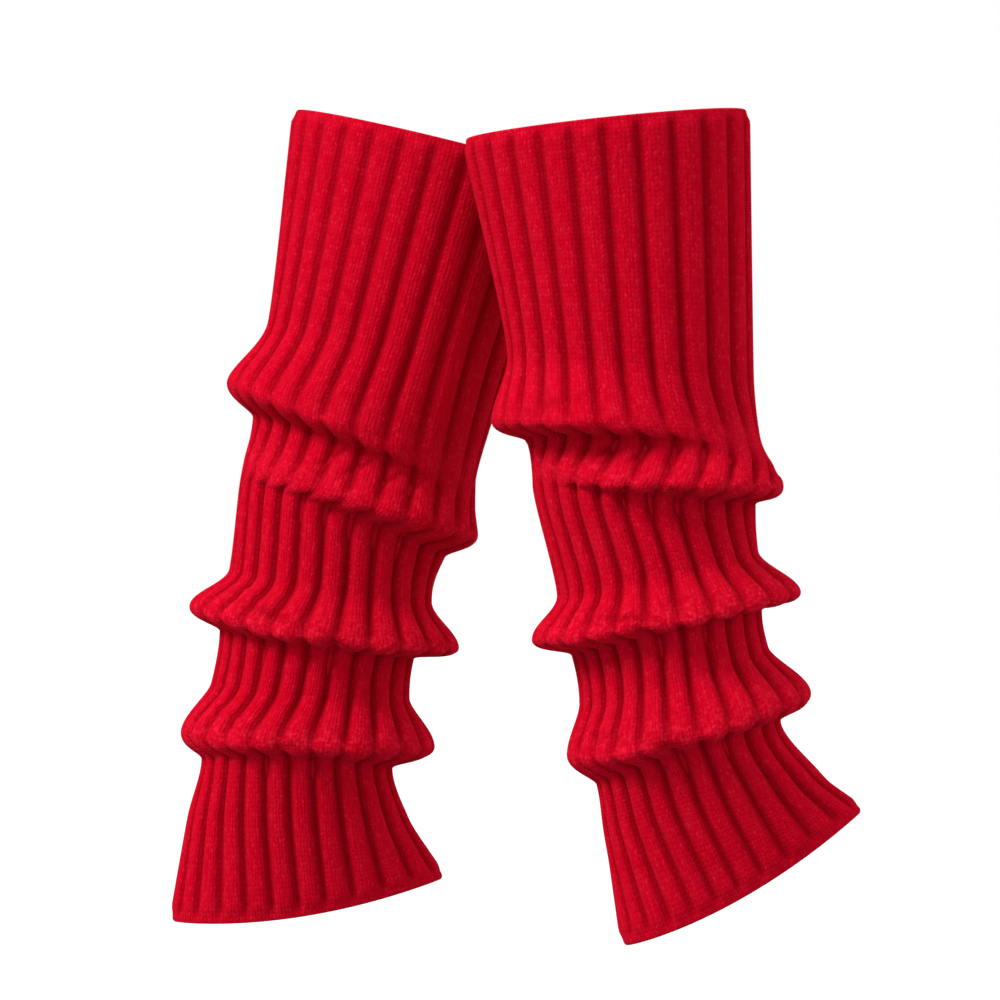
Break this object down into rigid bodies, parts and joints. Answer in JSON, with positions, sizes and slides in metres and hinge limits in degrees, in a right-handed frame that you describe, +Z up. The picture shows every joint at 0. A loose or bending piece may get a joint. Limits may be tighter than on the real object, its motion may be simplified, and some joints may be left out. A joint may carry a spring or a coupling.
{
  "type": "pair of rib-knit leg warmers",
  "caption": "Slouched rib-knit leg warmers in bright red, worn form: hollow tubes open at the knee and at the flared hem, pushed down into soft folds.",
  "frame": {"origin": "middle of the front leg warmer's top opening, where its wearer's leg holds it up", "axes": "+Z up along the wearer's leg, +X to the viewer's right as in the picture, +Y away from the viewer"},
  "size_m": [0.317, 0.1912, 0.3817],
  "materials": {
    "red_rib_knit": "matt, softly brushed acrylic rib knit"
  },
  "bodies": {
    "root": {"front_leg_warmer": "red_rib_knit", "rear_leg_warmer": "red_rib_knit"}
  },
  "joints": []
}
